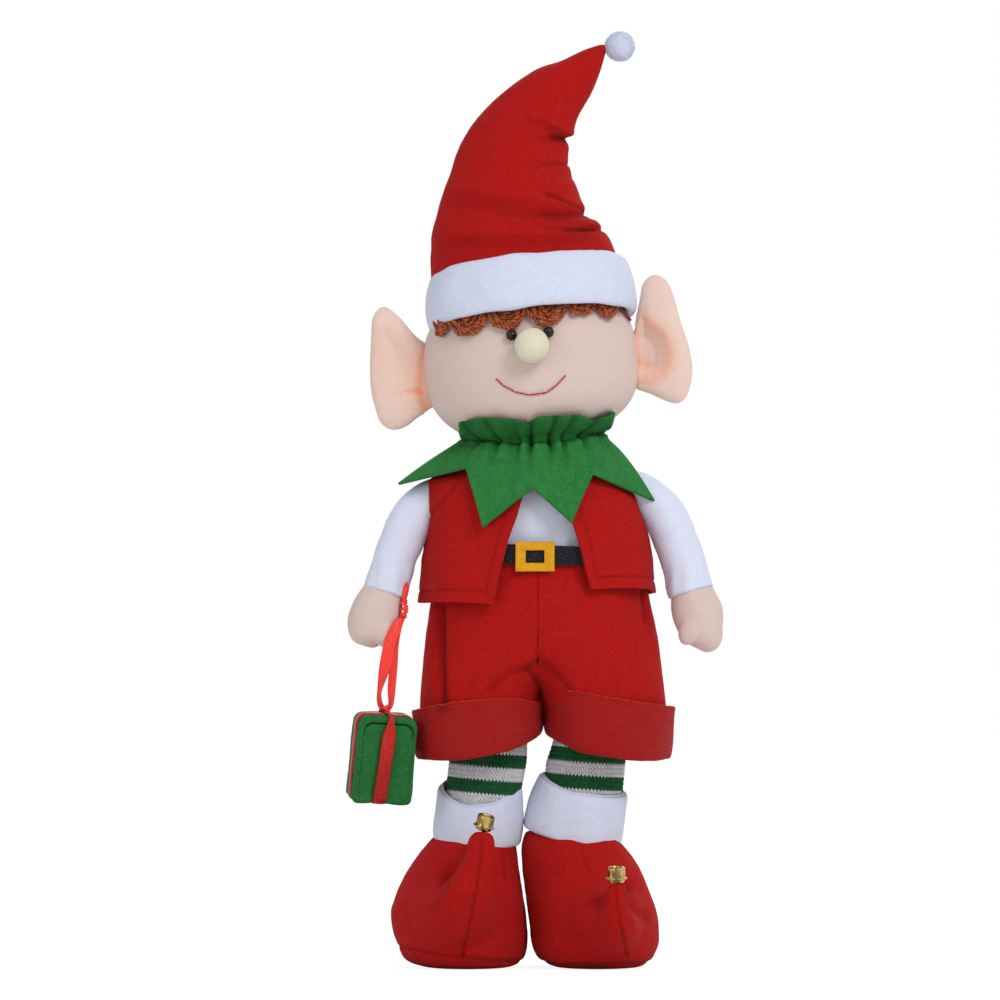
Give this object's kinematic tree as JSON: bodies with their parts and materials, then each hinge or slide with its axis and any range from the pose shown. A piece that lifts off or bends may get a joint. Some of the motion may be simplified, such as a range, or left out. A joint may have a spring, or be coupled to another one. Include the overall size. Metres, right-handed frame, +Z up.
{
  "type": "stuffed elf figurine",
  "caption": "Standing stuffed elf figurine in a fleece suit and pointed hat, with a felt collar, striped stockings, curled boots and a hanging gift.",
  "frame": {"origin": "centre of the bounding box on the surface the boots stand on", "axes": "+Z up along the height, the face looks along -Y, the figurine's left hand is at +X"},
  "size_m": [0.1804, 0.1094, 0.45],
  "materials": {
    "skin_fabric": "brushed jersey",
    "cream_pompom": "short pile",
    "black_bead": "gloss",
    "red_thread": "backstitch",
    "brown_yarn": "curly yarn",
    "dark_red_elastic": "shiny cord",
    "red_fleece": "fleece",
    "white_fleece": "thick fleece",
    "white_jersey": "jersey",
    "green_felt": "felt",
    "black_felt": "felt",
    "yellow_felt": "felt",
    "striped_knit": "green and white knit",
    "red_satin": "satin ribbon",
    "brass": "polished"
  },
  "bodies": {
    "root": {"head": "skin_fabric", "ear_right": "skin_fabric", "ear_left": "skin_fabric", "hand_right": "skin_fabric", "hand_left": "skin_fabric", "nose": "cream_pompom", "eye_right": "black_bead", "eye_left": "black_bead", "mouth": "red_thread", "hair_fringe": "brown_yarn", "hair_elastic": "dark_red_elastic", "hat": "red_fleece", "hat_trim": "white_fleece", "hat_pompom": "white_fleece", "collar": "green_felt", "torso": "white_jersey", "arm_right": "white_jersey", "arm_left": "white_jersey", "vest": "red_fleece", "belt": "black_felt", "buckle": "yellow_felt", "trousers": "red_fleece", "leg_right": "striped_knit", "leg_left": "striped_knit", "boot_cuff_right": "white_fleece", "boot_cuff_left": "white_fleece", "boot_right": "red_fleece", "boot_left": "red_fleece", "sole_right": "red_fleece", "sole_left": "red_fleece", "bell_right": "brass", "bell_left": "brass", "bell_pellet_right": "brass", "bell_pellet_left": "brass", "gift_box": "green_felt", "gift_ribbon_side": "red_satin", "gift_ribbon_front": "red_satin", "hanging_ribbon": "red_satin"}
  },
  "joints": []
}
